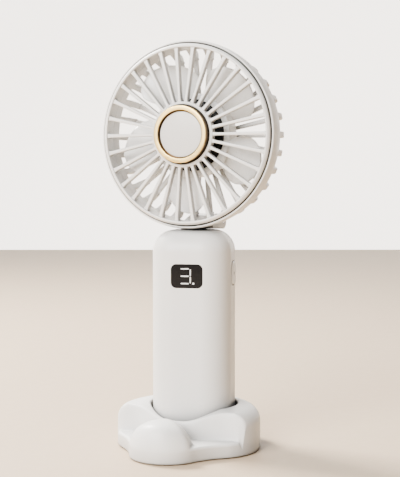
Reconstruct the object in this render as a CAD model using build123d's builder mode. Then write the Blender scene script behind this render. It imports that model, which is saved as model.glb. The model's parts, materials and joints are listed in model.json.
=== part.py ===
"""A rechargeable personal fan that stands in a loose base with a slot for a phone.

The front of the base and of the head is -Y, right is +X and up is +Z. The origin is on the
surface that the base stands on, on the axis of the handle. Lengths are in millimetres.
A "forward" distance is measured from the handle axis towards the front.
"""

import os
from math import cos, radians, sin

from build123d import *

os.makedirs("parts", exist_ok=True)

# ---------------------------------------------------------------- driving dimensions

HANDLE_TURN = 12.0       # the handle stands turned this far to the right in its round pocket
HANDLE_BOTTOM = 6.5
HANDLE_TOP = 105.0
HANDLE_WIDTH = 38.6
HANDLE_DEPTH = 35.0
HANDLE_CORNER = 13.0
HANDLE_WALL = 1.8
TOP_WALL = 4.0
SHOULDER = 10.6          # radius of the rounded top of the handle
CAP_HEIGHT = 3.0

HEAD_HEIGHT = 150.6      # height of the air axis
HEAD_RADIUS = 45.0       # outside of the air drum at its front rim
RIM_FRONT = 10.4
RING_FRONT = 12.4        # forward distance of the opening of the front ring
RING_RADIUS = 43.6
OPENING_RADIUS = 41.4
BAND_RADIUS = 44.0       # outside of the air drum at its rear edge
BAND_BORE = 41.6
BAND_REAR = -1.0
BACK_PLANE = -12.0
SPOKE_COUNT = 30
HUB_RADIUS = 15.6
HUB_FRONT = 14.4
BEZEL_RADIUS = 13.6
BEZEL_FRONT = 17.4
DISC_RADIUS = 10.8
DISC_FRONT = 15.9
REAR_HUB_RADIUS = 16.0

BLADE_COUNT = 5
BLADE_TIP = 38.0
BLADE_PHASE = -25.0      # first blade, clockwise from the top, seen from the front
BLADE_WIDE = 34.0
ROTOR_RADIUS = 17.4
ROTOR_FRONT = 3.6
IMPELLER_HUB_RADIUS = 20.4
SHAFT_RADIUS = 1.5

HINGE_BACK = 16.5        # the tilt hinge lies behind the air drum
HINGE_HEIGHT = 108.6
KNUCKLE_RADIUS = 3.8
LUG_HALF = 5.3
CHEEK_INNER = 6.1
CHEEK_OUTER = 8.6
PIN_RADIUS = 1.5
SPIGOT_RADIUS = 5.9
SWIVEL_DISC_RADIUS = 7.9
FIT = 0.05               # radial clearance of a running fit

BASE_LIFT = 0.4          # the pad holds the base body this far off the table
BASE_TOP = 20.5
SLOT_FLOOR = 7.2         # floor of the phone slot
SLOT_WALL = 16.0         # back wall of the phone slot, forward of the handle axis
LOBE_BACK = 32.3
LOBE_CENTRE = Vector(0, -33.0)
LOBE_RADIUS = 15.5
LOBE_TOP = 18.6
LOBE_ROUND = 7.5
COLLAR_TOP = 15.5
POCKET_RADIUS = 21.3
POCKET_FLOOR = HANDLE_BOTTOM - 1.3
TIP_CENTRE = Vector(0, -30.7)
TIP_RADIUS = 18.0
SIDE_CENTRE = Vector(11.9, -7.5)
SIDE_RADIUS = 23.5
WAIST_RADIUS = 39.0
BACK_EDGE = 27.0
BASE_WALL = 2.4
PAD_TOP = 0.8
WEIGHT_RADIUS = 22.0

DISPLAY_HEIGHT = 83.5
DISPLAY_SIZE = (15.4, 11.4)
DISPLAY_CORNER = 2.6
BUTTON_HEIGHT = 84.0
BUTTON_SIZE = (9.4, 11.2)
BUTTON_CORNER = 3.4
BUTTON_TRAVEL = 0.6
USB_HEIGHT = 36.0

CELL_RADIUS = 9.2
CELL_LENGTH = 65.0
CELL_BOTTOM = 13.0
CELL_FORWARD = 1.5
BOARD_BACK = 11.0        # front face of the main board, behind the handle axis

# ---------------------------------------------------------------- working planes

AIR_AXIS = Axis((0, 0, HEAD_HEIGHT), (0, -1, 0))
HEAD = Plane(origin=(0, 0, HEAD_HEIGHT), x_dir=(1, 0, 0), z_dir=(0, -1, 0))
HEAD_SECTION = Plane(origin=(0, 0, HEAD_HEIGHT), x_dir=(0, -1, 0), z_dir=(-1, 0, 0))
GRIP = Plane.XY.rotated((0, 0, HANDLE_TURN))
GRIP_FRONT = Plane(origin=(0, 0, 0), x_dir=GRIP.x_dir, z_dir=-GRIP.y_dir)
GRIP_SIDE = Plane(origin=(0, 0, 0), x_dir=GRIP.y_dir, z_dir=GRIP.x_dir)
GRIP_BACK = Plane(origin=(0, 0, 0), x_dir=-GRIP.x_dir, z_dir=GRIP.y_dir)
GRIP_SIDE_AXIS = Axis((0, 0, 0), GRIP.x_dir)
HINGE = Plane(origin=(0, HINGE_BACK, HINGE_HEIGHT), x_dir=(0, 1, 0), z_dir=(1, 0, 0))


def save(piece, label):
    """Name a finished piece and write its file."""
    piece.part.label = label
    export_step(piece.part, f"parts/{label}.step")


def turned(profile_points, plane, axis):
    """A solid of revolution from a closed outline drawn in a plane."""
    with BuildPart() as body:
        with BuildSketch(plane):
            with BuildLine():
                Polyline(*profile_points, close=True)
            make_face()
        revolve(axis=axis)
    return body


def tube(plane, start, end, outer, inner=0.0):
    """A cylinder or tube between two heights above a plane."""
    with BuildPart() as body:
        with BuildSketch(plane.offset(start)):
            Circle(outer)
            if inner:
                Circle(inner, mode=Mode.SUBTRACT)
        extrude(amount=end - start)
    return body


# ---------------------------------------------------------------- base

def on_circle(centre, target, radius):
    """The point of a circle that lies towards a target."""
    return centre + (target - centre).normalized() * radius


def waist_centre():
    """Centre of the concave arc that touches the tip circle and the side circle."""
    tip_reach = TIP_RADIUS + WAIST_RADIUS
    side_reach = SIDE_RADIUS + WAIST_RADIUS
    span = SIDE_CENTRE - TIP_CENTRE
    step = (tip_reach**2 - side_reach**2 + span.length**2) / (2 * span.length)
    rise = (tip_reach**2 - step**2) ** 0.5
    along = span.normalized()
    outward = Vector(along.Y, -along.X)
    return TIP_CENTRE + along * step + outward * rise


def base_outline(plane, inset=0.0):
    """A round tip, a shallow waist, broad sides and a round back."""
    waist = waist_centre()
    reach = BACK_EDGE - SIDE_CENTRE.Y
    back_radius = (SIDE_CENTRE.X**2 + reach**2 - SIDE_RADIUS**2) / (2 * (reach - SIDE_RADIUS))
    back_centre = Vector(0, BACK_EDGE - back_radius)
    nose = TIP_CENTRE - Vector(0, TIP_RADIUS)
    tip_end = on_circle(TIP_CENTRE, waist, TIP_RADIUS)
    side_start = on_circle(SIDE_CENTRE, waist, SIDE_RADIUS)
    side_end = on_circle(SIDE_CENTRE, SIDE_CENTRE * 2 - back_centre, SIDE_RADIUS)
    tail = Vector(0, BACK_EDGE)
    with BuildSketch(plane) as outline:
        with BuildLine():
            for centre, radius, start, end in (
                (TIP_CENTRE, TIP_RADIUS, nose, tip_end),
                (waist, WAIST_RADIUS, tip_end, side_start),
                (SIDE_CENTRE, SIDE_RADIUS, side_start, side_end),
                (back_centre, back_radius, side_end, tail),
            ):
                ThreePointArc(start, on_circle(centre, (start + end) / 2, radius), end)
            mirror(about=Plane.YZ)
        make_face()
        if inset:
            offset(amount=-inset)
    return outline


def slab(bottom, top, inset):
    """The base outline, inset and given a thickness."""
    with BuildPart() as body:
        add(base_outline(Plane.XY.offset(bottom), inset).sketch)
        extrude(amount=top - bottom)
    return body


def behind_slot(bottom, top, forward=SLOT_WALL):
    """Everything behind the back wall of the phone slot."""
    with BuildPart() as body:
        with Locations((0, 60 - forward, (bottom + top) / 2)):
            Box(120, 120, top - bottom)
    return body


SCREW_SPOTS = ((-24.5, -2.0), (24.5, -2.0), (0.0, -38.5))
CAVITY_TOP = POCKET_FLOOR - 1.4
PLATE_BOTTOM = 0.8
PLATE_TOP = 2.0

with BuildPart() as shoulder_block:
    add(slab(SLOT_FLOOR, BASE_TOP, 0).part)
    add(behind_slot(SLOT_FLOOR, BASE_TOP).part, mode=Mode.INTERSECT)
    fillet(shoulder_block.faces().sort_by(Axis.Z)[-1].outer_wire().edges(), 6.0)

with BuildPart() as lobe:
    with Locations((LOBE_CENTRE.X, LOBE_CENTRE.Y, SLOT_FLOOR)):
        Cylinder(
            LOBE_RADIUS,
            LOBE_TOP - SLOT_FLOOR,
            align=(Align.CENTER, Align.CENTER, Align.MIN),
        )
    fillet(lobe.faces().sort_by(Axis.Z)[-1].outer_wire().edges(), LOBE_ROUND)
    split(bisect_by=Plane(origin=(0, -LOBE_BACK, 0), z_dir=(0, -1, 0)), keep=Keep.TOP)
    back_face = lobe.faces().sort_by(Axis.Y)[-1]
    fillet(back_face.edges().sort_by(Axis.Z)[1:], 2.5)

with BuildPart() as side_cavity:
    add(slab(CAVITY_TOP - 1, BASE_TOP - 7.5, BASE_WALL).part)
    add(behind_slot(0, BASE_TOP, SLOT_WALL - BASE_WALL).part, mode=Mode.INTERSECT)
    add(tube(Plane.XY, 0, BASE_TOP, POCKET_RADIUS + BASE_WALL).part, mode=Mode.SUBTRACT)

with BuildPart() as base_body:
    add(slab(BASE_LIFT, SLOT_FLOOR, 0).part)
    add(shoulder_block.part)
    add(lobe.part)
    add(tube(Plane.XY, SLOT_FLOOR - 1, COLLAR_TOP, POCKET_RADIUS + 1.7).part)
    add(tube(Plane.XY, POCKET_FLOOR, BASE_TOP + 1, POCKET_RADIUS).part, mode=Mode.SUBTRACT)
    add(slab(0, CAVITY_TOP, BASE_WALL).part, mode=Mode.SUBTRACT)
    add(side_cavity.part, mode=Mode.SUBTRACT)
    with Locations(*[(x, y, (PLATE_TOP + SLOT_FLOOR - 1) / 2) for x, y in SCREW_SPOTS]):
        Cylinder(2.6, SLOT_FLOOR - 1 - PLATE_TOP)
    with Locations(*[(x, y, PLATE_TOP + 2) for x, y in SCREW_SPOTS]):
        Cylinder(0.9, 4, mode=Mode.SUBTRACT)
save(base_body, "base_body")

with BuildPart() as base_bottom_plate:
    add(slab(PLATE_BOTTOM, PLATE_TOP, BASE_WALL + 0.15).part)
    with Locations(*[(x, y, PLATE_BOTTOM) for x, y in SCREW_SPOTS]):
        Cylinder(1.1, 6, mode=Mode.SUBTRACT)
        Cylinder(2.1, 1.5, mode=Mode.SUBTRACT)
save(base_bottom_plate, "base_bottom_plate")

with BuildPart() as base_weight:
    add(tube(Plane.XY, PLATE_TOP + 0.05, CAVITY_TOP - 0.1, WEIGHT_RADIUS).part)
    with Locations(*[(x, y, PLATE_TOP) for x, y in SCREW_SPOTS]):
        Cylinder(3.0, 6, mode=Mode.SUBTRACT)
save(base_weight, "base_weight")

with BuildPart() as base_screws:
    for x, y in SCREW_SPOTS:
        spot = Plane(origin=(x, y, 0))
        add(tube(spot, PLATE_BOTTOM + 0.7, PLATE_TOP + 3.0, 0.88).part)
        add(tube(spot, PLATE_BOTTOM + 0.05, PLATE_BOTTOM + 0.72, 2.0).part)
save(base_screws, "base_screws")

with BuildPart() as anti_slip_pad:
    add(slab(0, PAD_TOP, BASE_WALL + 1.0).part)
    with Locations(*[(x, y, 0) for x, y in SCREW_SPOTS]):
        Cylinder(2.4, 4, mode=Mode.SUBTRACT)
save(anti_slip_pad, "anti_slip_pad")

save(tube(Plane.XY, POCKET_FLOOR, POCKET_FLOOR + 0.8, POCKET_RADIUS - 1.3), "pocket_pad")

# ---------------------------------------------------------------- handle


def handle_section(plane, inset=0.0):
    """The rounded rectangle of the handle."""
    with BuildSketch(plane) as section:
        RectangleRounded(
            HANDLE_WIDTH - 2 * inset,
            HANDLE_DEPTH - 2 * inset,
            HANDLE_CORNER - inset,
        )
    return section


def handle_block(bottom, top, inset=0.0, rounding=0.0):
    """A length of the handle's section, with its top edge rounded if asked."""
    with BuildPart() as block:
        add(handle_section(GRIP.offset(bottom), inset).sketch)
        extrude(amount=top - bottom)
        if rounding:
            fillet(block.faces().sort_by(Axis.Z)[-1].outer_wire().edges(), rounding)
    return block


def panel(plane, size, corner, start, end, centre):
    """A rounded plate standing on a vertical plane, between two distances from it."""
    with BuildPart() as plate:
        with BuildSketch(plane.offset(start)):
            with Locations(centre):
                RectangleRounded(*size, corner)
        extrude(amount=end - start)
    return plate


def grip_box(size, centre, mode=Mode.ADD):
    """A box placed in the handle's own directions: right, back and up."""
    with Locations(GRIP):
        with Locations(centre):
            Box(*size, mode=mode)


def grip_drill(spots, radius, bottom, top):
    """Upright holes at places given in the handle's own directions."""
    with Locations(GRIP):
        with Locations(*[(x, y, (bottom + top) / 2) for x, y in spots]):
            Cylinder(radius, top - bottom, mode=Mode.SUBTRACT)


FRONT_SKIN = HANDLE_DEPTH / 2
SIDE_SKIN = HANDLE_WIDTH / 2
SLEEVE_BOTTOM = HANDLE_BOTTOM + CAP_HEIGHT
INNER_TOP = HANDLE_TOP - TOP_WALL
DISPLAY_CENTRE = (0, DISPLAY_HEIGHT)
BUTTON_CENTRE = (0, BUTTON_HEIGHT)
SWIVEL_FLOOR = HANDLE_TOP - 1.7
USB_SIZE = (9.0, 3.2)
USB_CORNER = 1.5

with BuildPart() as handle_shell:
    add(handle_block(SLEEVE_BOTTOM, HANDLE_TOP, 0, SHOULDER).part)
    add(
        handle_block(SLEEVE_BOTTOM - 1, INNER_TOP, HANDLE_WALL, SHOULDER - HANDLE_WALL).part,
        mode=Mode.SUBTRACT,
    )
    display_hole = (DISPLAY_SIZE[0] + 0.1, DISPLAY_SIZE[1] + 0.1)
    button_hole = (BUTTON_SIZE[0] + 0.9, BUTTON_SIZE[1] + 0.9)
    usb_hole = (USB_SIZE[0] + 0.5, USB_SIZE[1] + 0.5)
    add(
        panel(GRIP_FRONT, display_hole, DISPLAY_CORNER + 0.05, 10, 20, DISPLAY_CENTRE).part,
        mode=Mode.SUBTRACT,
    )
    add(
        panel(GRIP_SIDE, button_hole, BUTTON_CORNER + 0.45, 12, 22, BUTTON_CENTRE).part,
        mode=Mode.SUBTRACT,
    )
    add(
        panel(GRIP_BACK, usb_hole, USB_CORNER + 0.25, 12, 20, (0, USB_HEIGHT)).part,
        mode=Mode.SUBTRACT,
    )
    add(tube(GRIP, SWIVEL_FLOOR, HANDLE_TOP + 1, SWIVEL_DISC_RADIUS + 0.3).part, mode=Mode.SUBTRACT)
    add(tube(GRIP, 90, HANDLE_TOP, SPIGOT_RADIUS + FIT).part, mode=Mode.SUBTRACT)
save(handle_shell, "handle_shell")

CAP_SCREWS = ((-11.5, -8.0), (11.5, -8.0), (-11.5, 8.0), (11.5, 8.0))
CHASSIS_BOTTOM = SLEEVE_BOTTOM + 0.3

with BuildPart() as bottom_cap:
    add(handle_block(HANDLE_BOTTOM, SLEEVE_BOTTOM - 0.03).part)
    fillet(bottom_cap.faces().sort_by(Axis.Z)[0].outer_wire().edges(), 1.8)
    grip_drill(CAP_SCREWS, 1.1, 0, SLEEVE_BOTTOM)
    grip_drill(CAP_SCREWS, 2.0, 0, HANDLE_BOTTOM + 1.6)
save(bottom_cap, "bottom_cap")

with BuildPart() as cap_screws:
    for x, y in CAP_SCREWS:
        spot = Plane(GRIP.from_local_coords((x, y, 0)), x_dir=GRIP.x_dir, z_dir=GRIP.z_dir)
        add(tube(spot, HANDLE_BOTTOM + 0.3, HANDLE_BOTTOM + 1.55, 1.8).part)
        add(tube(spot, HANDLE_BOTTOM + 1.55, CHASSIS_BOTTOM + 3.5, 0.9).part)
save(cap_screws, "cap_screws")

CELL_TOP = CELL_BOTTOM + CELL_LENGTH
with BuildPart() as inner_chassis:
    add(handle_block(CHASSIS_BOTTOM, 93.5, HANDLE_WALL + 0.2).part)
    grip_box((23.0, 60, 100), (0, 0, 62.0), Mode.SUBTRACT)
    grip_box((60, 14.0, 100), (0, -16.0, 62.0), Mode.SUBTRACT)
    grip_box((60, 8.0, 100), (0, BOARD_BACK + 3.6, 62.0), Mode.SUBTRACT)
    grip_box((14.0, 60, 24), (14.0, 0, BUTTON_HEIGHT + 2), Mode.SUBTRACT)
    add(handle_block(CHASSIS_BOTTOM, CELL_BOTTOM - 0.8, HANDLE_WALL + 0.2).part)
    grip_box((22.2, 15.0, 1.6), (-0.6, -CELL_FORWARD, CELL_TOP + 1.8))
    grip_drill(CAP_SCREWS, 0.9, 0, CHASSIS_BOTTOM + 4.5)
save(inner_chassis, "inner_chassis")

cell_axis = Plane(
    GRIP.from_local_coords((0, -CELL_FORWARD, 0)), x_dir=GRIP.x_dir, z_dir=GRIP.z_dir
)
with BuildPart() as battery_cell:
    add(tube(cell_axis, CELL_BOTTOM, CELL_TOP - 0.8, CELL_RADIUS).part)
    add(tube(cell_axis, CELL_TOP - 0.8, CELL_TOP, 3.0).part)
save(battery_cell, "battery_cell")

with BuildPart() as battery_tabs:
    for height in (CELL_BOTTOM - 0.15, CELL_TOP + 0.15):
        grip_box((6, 13, 0.2), (0, -CELL_FORWARD + 2.5, height))
save(battery_tabs, "battery_tabs")

BOARD_BOTTOM = 15.0
BOARD_TOP = 94.0
BOARD_WIDTH = 22.0
BOARD_THICK = 1.0
BOARD_SCREWS = ((-8.5, 19.0), (8.5, 19.0), (-8.5, 90.0), (8.5, 90.0))
board_plane = GRIP_BACK.offset(BOARD_BACK)

with BuildPart() as main_board:
    with BuildSketch(board_plane):
        with Locations((0, (BOARD_BOTTOM + BOARD_TOP) / 2)):
            RectangleRounded(BOARD_WIDTH, BOARD_TOP - BOARD_BOTTOM, 1.5)
        with Locations((0, USB_HEIGHT)):
            Rectangle(USB_SIZE[0] + 0.2, USB_SIZE[1] + 0.2, mode=Mode.SUBTRACT)
        with Locations(*BOARD_SCREWS):
            Circle(1.1, mode=Mode.SUBTRACT)
    extrude(amount=BOARD_THICK)
save(main_board, "main_board")

with BuildPart() as board_parts:
    with BuildSketch(board_plane.offset(BOARD_THICK)):
        with Locations((0, 50)):
            Rectangle(5, 5)
        with Locations((-6.0, 52), (6.5, 47)):
            Rectangle(2.4, 3.4)
        with Locations((0, 73)):
            RectangleRounded(7.5, 7.5, 1.2)
        with Locations(*[(-7.5 + 3.0 * i, 62.0) for i in range(6)]):
            Rectangle(1.0, 1.8)
    extrude(amount=1.6)
save(board_parts, "board_parts")

with BuildPart() as board_screws:
    for x, z in BOARD_SCREWS:
        spot = Plane(board_plane.from_local_coords((x, z, 0)), z_dir=board_plane.z_dir)
        add(tube(spot, -1.2, BOARD_THICK, 0.9).part)
        add(tube(spot, BOARD_THICK, BOARD_THICK + 0.9, 1.7).part)
save(board_screws, "board_screws")

with BuildPart() as usb_socket:
    add(panel(GRIP_BACK, USB_SIZE, USB_CORNER, 9.8, FRONT_SKIN - 0.25, (0, USB_HEIGHT)).part)
    add(
        panel(GRIP_BACK, (8.3, 2.5), 1.2, 11.3, FRONT_SKIN, (0, USB_HEIGHT)).part,
        mode=Mode.SUBTRACT,
    )
    add(panel(GRIP_BACK, (6.6, 0.7), 0.3, 11.2, FRONT_SKIN - 1.0, (0, USB_HEIGHT)).part)
save(usb_socket, "usb_socket")

# display: a black window with the figure three and a point set into it
SEGMENT_WIDE = 0.55
SEGMENT_LONG = 3.9
FIGURE_TOP = 3.5
FIGURE_RIGHT = 1.75


def figure(plane, start, end):
    """The lit figure three with its point."""
    with BuildPart() as lit:
        with BuildSketch(plane.offset(start)):
            for row in (-1, 0, 1):
                with Locations((FIGURE_RIGHT - 2.7, DISPLAY_HEIGHT + row * FIGURE_TOP)):
                    SlotOverall(SEGMENT_LONG, SEGMENT_WIDE)
            for row in (-0.5, 0.5):
                with Locations((FIGURE_RIGHT, DISPLAY_HEIGHT + row * FIGURE_TOP)):
                    SlotOverall(FIGURE_TOP - 0.35, SEGMENT_WIDE, rotation=90)
            with Locations((FIGURE_RIGHT + 1.45, DISPLAY_HEIGHT - FIGURE_TOP)):
                Circle(0.5)
        extrude(amount=end - start)
    return lit


WINDOW_FACE = FRONT_SKIN - 0.15
WINDOW_BACK = FRONT_SKIN - 1.6
with BuildPart() as display_window:
    add(
        panel(
            GRIP_FRONT, DISPLAY_SIZE, DISPLAY_CORNER, WINDOW_BACK, WINDOW_FACE, DISPLAY_CENTRE
        ).part
    )
    add(figure(GRIP_FRONT, WINDOW_BACK - 1, WINDOW_FACE + 1).part, mode=Mode.SUBTRACT)
save(display_window, "display_window")
save(figure(GRIP_FRONT, WINDOW_BACK, WINDOW_FACE), "digit_segments")
save(
    panel(GRIP_FRONT, (14.8, 12.0), 1.0, WINDOW_BACK - 3.6, WINDOW_BACK - 0.5, DISPLAY_CENTRE),
    "display_board",
)

BUTTON_FACE = SIDE_SKIN + 0.6
FLANGE_FACE = SIDE_SKIN - HANDLE_WALL - 0.3
with BuildPart() as button_cap:
    add(
        panel(
            GRIP_SIDE, BUTTON_SIZE, BUTTON_CORNER, FLANGE_FACE, BUTTON_FACE, BUTTON_CENTRE
        ).part
    )
    fillet(button_cap.faces().sort_by(GRIP_SIDE_AXIS)[-1].outer_wire().edges(), 0.7)
    add(
        panel(
            GRIP_SIDE, (11.4, 13.4), 3.6, FLANGE_FACE - 0.9, FLANGE_FACE, BUTTON_CENTRE
        ).part
    )
    add(panel(GRIP_SIDE, (3, 3), 1.2, FLANGE_FACE - 1.9, FLANGE_FACE, BUTTON_CENTRE).part)
    add(
        panel(GRIP_SIDE, (1.6, 1.6), 0.79, BUTTON_FACE - 1.2, BUTTON_FACE + 1, BUTTON_CENTRE).part,
        mode=Mode.SUBTRACT,
    )
save(button_cap, "button_cap")
save(
    panel(
        GRIP_SIDE, (1.56, 1.56), 0.77, BUTTON_FACE - 1.2, BUTTON_FACE - 0.15, BUTTON_CENTRE
    ),
    "button_light",
)

SWITCH_FACE = FLANGE_FACE - 1.9 - BUTTON_TRAVEL - 0.3
with BuildPart() as tact_switch:
    add(
        panel(GRIP_SIDE, (6, 6), 0.5, SWITCH_FACE - 2.4, SWITCH_FACE - 0.7, BUTTON_CENTRE).part
    )
    add(
        panel(GRIP_SIDE, (3.2, 3.2), 1.5, SWITCH_FACE - 0.7, SWITCH_FACE, BUTTON_CENTRE).part
    )
save(tact_switch, "tact_switch")
save(
    panel(GRIP_SIDE, (12, 14), 1.0, SWITCH_FACE - 3.4, SWITCH_FACE - 2.4, BUTTON_CENTRE),
    "switch_board",
)

# ---------------------------------------------------------------- neck

PLATE_UNDER = HANDLE_TOP + 0.35
PLATE_OVER = PLATE_UNDER + 1.15
SPIGOT_END = 96.8
CHEEK_MIDDLE = 6.0
LUG_MIDDLE = 4.4
LUG_UNDER = 107.2
CLIP_BOTTOM = 98.6


def cheek(inner, outer):
    """One side of the fork that carries the hinge pin."""
    with BuildPart() as side:
        with BuildSketch(HINGE.offset(inner)):
            with BuildSketch(mode=Mode.PRIVATE) as shape:
                Circle(KNUCKLE_RADIUS)
                with Locations((CHEEK_MIDDLE - HINGE_BACK, PLATE_UNDER + 1.1 - HINGE_HEIGHT)):
                    Rectangle(6.0, 2.2)
            make_hull(shape.sketch.edges())
            Circle(PIN_RADIUS, mode=Mode.SUBTRACT)
        extrude(amount=outer - inner)
    return side


with BuildPart() as neck:
    add(tube(Plane.XY, SPIGOT_END, SWIVEL_FLOOR + 0.1, SPIGOT_RADIUS).part)
    add(tube(Plane.XY, SWIVEL_FLOOR + 0.1, HANDLE_TOP, SWIVEL_DISC_RADIUS).part)
    with Locations((0, 3.7, PLATE_UNDER)):
        Box(10, 4.6, 1.2)
    with BuildSketch(Plane.XY.offset(PLATE_UNDER)):
        with Locations((0, 5.1)):
            RectangleRounded(2 * CHEEK_OUTER, 7.4, 3.0)
    extrude(amount=PLATE_OVER - PLATE_UNDER)
    with Locations((0, 8.4, PLATE_OVER)):
        Box(2 * CHEEK_INNER - 0.4, 10, 6, mode=Mode.SUBTRACT)
    add(cheek(CHEEK_INNER, CHEEK_OUTER).part)
    add(cheek(-CHEEK_OUTER, -CHEEK_INNER).part)
    add(tube(Plane.XY, SPIGOT_END - 1, PLATE_OVER + 1, 2.6).part, mode=Mode.SUBTRACT)
    with BuildSketch(Plane.XY.offset(CLIP_BOTTOM)):
        Circle(SPIGOT_RADIUS + 1)
        Circle(SPIGOT_RADIUS - 1.0, mode=Mode.SUBTRACT)
    extrude(amount=0.8, mode=Mode.SUBTRACT)
save(neck, "neck")

with BuildPart() as swivel_clip:
    add(tube(Plane.XY, CLIP_BOTTOM + 0.05, CLIP_BOTTOM + 0.75, 8.0, SPIGOT_RADIUS - 0.98).part)
    with Locations((0, 8, CLIP_BOTTOM)):
        Box(5, 8, 4, mode=Mode.SUBTRACT)
save(swivel_clip, "swivel_clip")
save(
    tube(Plane.XY, CLIP_BOTTOM + 0.8, INNER_TOP - 0.3, 8.3, SPIGOT_RADIUS + FIT),
    "swivel_washer",
)

with BuildPart() as hinge_pin:
    add(tube(HINGE, -CHEEK_OUTER, CHEEK_OUTER, PIN_RADIUS).part)
    chamfer(hinge_pin.edges(), 0.3)
save(hinge_pin, "hinge_pin")

with BuildPart() as hinge_washers:
    for side in (-1, 1):
        start = side * (LUG_HALF + 0.1)
        end = side * (CHEEK_INNER - 0.02)
        add(tube(HINGE, min(start, end), max(start, end), 3.3, PIN_RADIUS + 0.03).part)
save(hinge_washers, "hinge_washers")

# ---------------------------------------------------------------- head housing

FIN_THICK = 2.4
FIN_OUTER = 43.2
FIN_FRONT = BAND_REAR - 0.03
GUARD_RADIUS = 37.6      # outside of the flat rear guard
GUARD_THICK = 2.3
BEARING_OUTER = 3.0
REAR_HUB_FRONT = BACK_PLANE + 2.6


def all_round(piece):
    """Copies of a fin or spoke all round the air axis, one of them at three o'clock."""
    return [piece.rotate(AIR_AXIS, (i + 0.5) * 360 / SPOKE_COUNT) for i in range(SPOKE_COUNT)]


with BuildPart() as rear_fin:
    with BuildSketch(HEAD_SECTION):
        with BuildLine():
            Polyline(
                (FIN_FRONT, FIN_OUTER),
                (BACK_PLANE + 3.5, FIN_OUTER - 0.4),
                (BACK_PLANE + 1.0, FIN_OUTER - 1.7),
                (BACK_PLANE, FIN_OUTER - 3.8),
                (BACK_PLANE, GUARD_RADIUS + 0.03),
                (BACK_PLANE + GUARD_THICK + 0.3, GUARD_RADIUS + 0.03),
                (BAND_REAR - 2.4, BAND_BORE + 0.2),
                (FIN_FRONT, BAND_BORE + 0.2),
                close=True,
            )
        make_face()
    extrude(amount=FIN_THICK / 2, both=True)
    fillet(rear_fin.edges().filter_by(GeomType.LINE).filter_by(Axis.X, reverse=True), 0.5)

band_profile = [
    (RIM_FRONT - 1.4, BAND_BORE + 0.6),
    (RIM_FRONT - 1.4, RING_RADIUS + 0.1),
    (RIM_FRONT - 0.2, RING_RADIUS + 0.2),
    (RIM_FRONT, RING_RADIUS + 0.5),
    (RIM_FRONT - 0.3, HEAD_RADIUS - 0.4),
    (RIM_FRONT - 1.3, HEAD_RADIUS),
    (RIM_FRONT - 5.5, HEAD_RADIUS),
    (BAND_REAR + 0.6, BAND_RADIUS),
    (BAND_REAR, BAND_RADIUS - 0.5),
    (BAND_REAR, BAND_BORE),
    (RIM_FRONT - 5.4, BAND_BORE),
    (RIM_FRONT - 5.4, BAND_BORE + 0.6),
]

with BuildPart() as hinge_lug:
    with BuildSketch(HINGE.offset(-LUG_HALF)):
        with BuildSketch(mode=Mode.PRIVATE) as lug_side:
            Circle(KNUCKLE_RADIUS)
            with Locations((LUG_MIDDLE - HINGE_BACK, LUG_UNDER + 1.15 - HINGE_HEIGHT)):
                Rectangle(9.2, 2.3)
        make_hull(lug_side.sketch.edges())
    extrude(amount=2 * LUG_HALF)

fins = all_round(rear_fin.part)
under = SPOKE_COUNT // 2     # the fin after the lowest point; the hinge lug joins it and the one before
with BuildPart() as rear_housing:
    add(turned(band_profile, HEAD_SECTION, AIR_AXIS).part)
    add(fins[under - 1 : under + 1])
    add(hinge_lug.part)
    add(
        tube(HINGE, -LUG_HALF - 1, LUG_HALF + 1, PIN_RADIUS + FIT).part,
        mode=Mode.SUBTRACT,
    )
save(rear_housing, "rear_housing")

with BuildPart() as rear_fins:
    add(fins[: under - 1] + fins[under + 1 :])
save(rear_fins, "rear_fins")

with BuildPart() as guard_bar:
    with Locations((0, -BACK_PLANE - GUARD_THICK / 2, HEAD_HEIGHT + GUARD_RADIUS / 2)):
        Box(FIN_THICK, GUARD_THICK, GUARD_RADIUS)
guard_zone = tube(HEAD, BACK_PLANE - 1, REAR_HUB_FRONT + 1, GUARD_RADIUS, REAR_HUB_RADIUS + 0.03)
with BuildPart() as rear_guard:
    add(all_round(guard_bar.part))
    add(guard_zone.part, mode=Mode.INTERSECT)
save(rear_guard, "rear_guard")

with BuildPart() as rear_hub:
    add(tube(HEAD, BACK_PLANE, REAR_HUB_FRONT, REAR_HUB_RADIUS).part)
    add(tube(HEAD, BACK_PLANE - 1, BACK_PLANE + 1.0, REAR_HUB_RADIUS - 1.5).part, mode=Mode.SUBTRACT)
    add(tube(HEAD, BACK_PLANE - 1, REAR_HUB_FRONT + 1, BEARING_OUTER + 1).part, mode=Mode.SUBTRACT)
save(rear_hub, "rear_hub")

save(
    tube(HEAD, BACK_PLANE + 0.1, BACK_PLANE + 0.98, REAR_HUB_RADIUS - 1.6),
    "rear_badge",
)

# front grille: ring, hub cup and straight spokes
SPOKE_DEPTH = 3.2
SPOKE_WIDE = 1.75
SPOKE_NARROW = 1.25


def spoke():
    """One straight spoke, standing up from the hub to the ring."""
    inner = HUB_RADIUS - 0.8
    outer = OPENING_RADIUS + 0.6
    with BuildPart() as bar:
        for reach, front, width in (
            (inner, HUB_FRONT - 0.3, SPOKE_NARROW),
            (outer, RING_FRONT - 0.6, SPOKE_WIDE),
        ):
            middle = (0, SPOKE_DEPTH / 2 - front, HEAD_HEIGHT + reach)
            with BuildSketch(Plane(origin=middle, x_dir=(1, 0, 0), z_dir=(0, 0, 1))):
                RectangleRounded(width, SPOKE_DEPTH, 0.35)
        loft()
    return bar


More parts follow.
